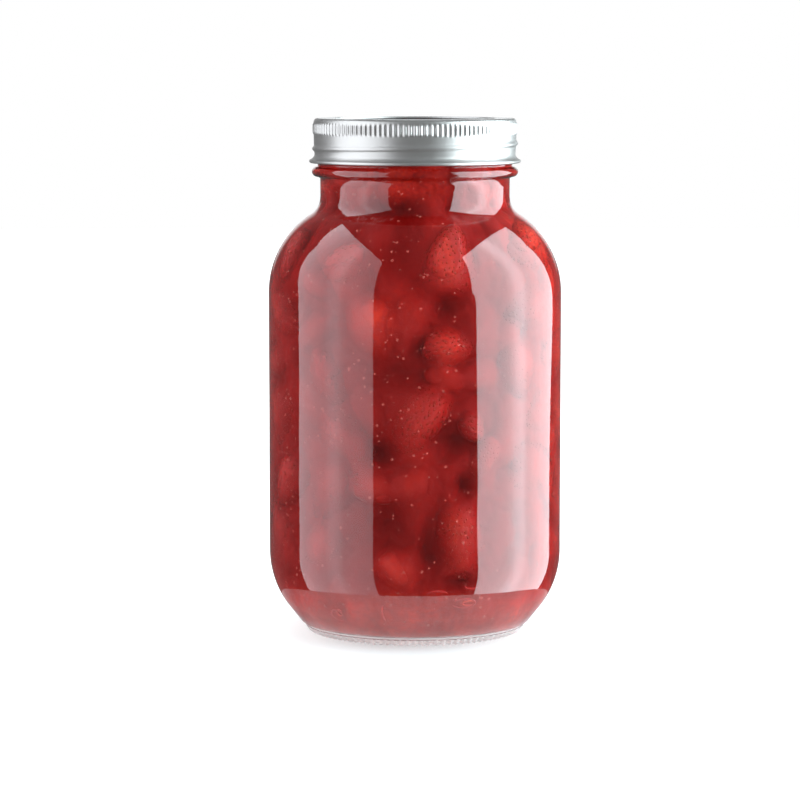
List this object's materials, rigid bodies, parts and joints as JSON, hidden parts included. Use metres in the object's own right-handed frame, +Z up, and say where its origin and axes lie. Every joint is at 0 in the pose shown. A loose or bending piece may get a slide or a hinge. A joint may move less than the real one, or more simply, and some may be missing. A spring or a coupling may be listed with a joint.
{
  "type": "preserving jar",
  "caption": "Clear round-shouldered glass preserving jar with a knurled metal screw band and flat lid, packed with strawberries in red syrup.",
  "frame": {"origin": "centre of the ring that the jar stands on", "axes": "+Z up along the jar's axis; -Y is the side that faces the viewer"},
  "size_m": [0.1, 0.1, 0.1755],
  "materials": {
    "glass": "polished clear glass",
    "band_metal": "satin tinplate",
    "lid_metal": "satin tinplate",
    "fruit": "soft wet fruit in red syrup"
  },
  "bodies": {
    "root": {"jar": "glass", "screw_band": "band_metal", "lid_disc": "lid_metal", "strawberries": "fruit"}
  },
  "joints": []
}
